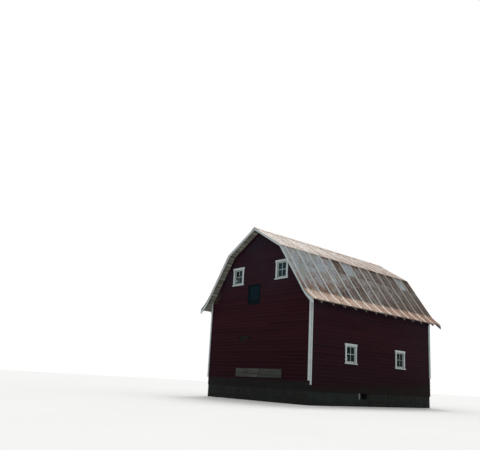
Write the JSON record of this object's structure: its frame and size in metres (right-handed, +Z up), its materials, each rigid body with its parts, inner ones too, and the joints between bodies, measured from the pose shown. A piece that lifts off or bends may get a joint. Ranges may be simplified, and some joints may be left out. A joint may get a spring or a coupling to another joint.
{
  "type": "gambrel barn",
  "caption": "Small gambrel-roofed timber barn with flared eaves, red lapped siding, white trim, ribbed metal roofing, loft and low masonry foundation.",
  "frame": {"origin": "middle of the plan, at the foot of the foundation", "axes": "+Z up, the front gable with the hay hatch faces -Y, the ridge runs along Y, +X to the right seen from the front"},
  "size_m": [6.05, 8.05, 6.3351],
  "materials": {
    "foundation": "weathered concrete and rubble",
    "framing": "rough sawn, aged",
    "siding": "dark red paint, weathered",
    "trim": "white paint, weathered",
    "bare_boards": "weathered grey, unpainted",
    "pale_boards": "pale, weathered",
    "hatch": "dark teal paint",
    "glass": "old window glass",
    "roofing": "galvanised sheet, rusted"
  },
  "bodies": {
    "root": {"foundation_front": "foundation", "foundation_back": "foundation", "foundation_left": "foundation", "foundation_right": "foundation", "ground_joists": "framing", "ground_floor": "bare_boards", "loft_ledgers": "framing", "loft_joists": "framing", "loft_floor": "bare_boards", "front_wall_frame": "framing", "back_wall_frame": "framing", "left_wall_frame": "framing", "right_wall_frame": "framing", "front_wall": "siding", "back_wall": "siding", "left_wall": "siding", "right_wall": "siding", "front_patch_boards": "pale_boards", "front_corner_boards": "trim", "back_corner_boards": "trim", "loft_casings": "trim", "loft_sashes": "trim", "loft_glass": "glass", "low_casings": "trim", "low_sashes": "trim", "low_glass": "glass", "hay_hatch": "hatch", "back_door_casing": "trim", "back_door": "siding", "ridge_board": "framing", "upper_rafters": "framing", "lower_rafters": "framing", "rafter_gussets": "framing", "rafter_tails": "bare_boards", "upper_roof_boards": "bare_boards", "lower_roof_boards": "bare_boards", "upper_roofing_left": "roofing", "upper_roofing_right": "roofing", "lower_roofing_left": "roofing", "lower_roofing_right": "roofing", "ridge_cap": "roofing", "front_rake_boards": "trim", "back_rake_boards": "trim"}
  },
  "joints": []
}
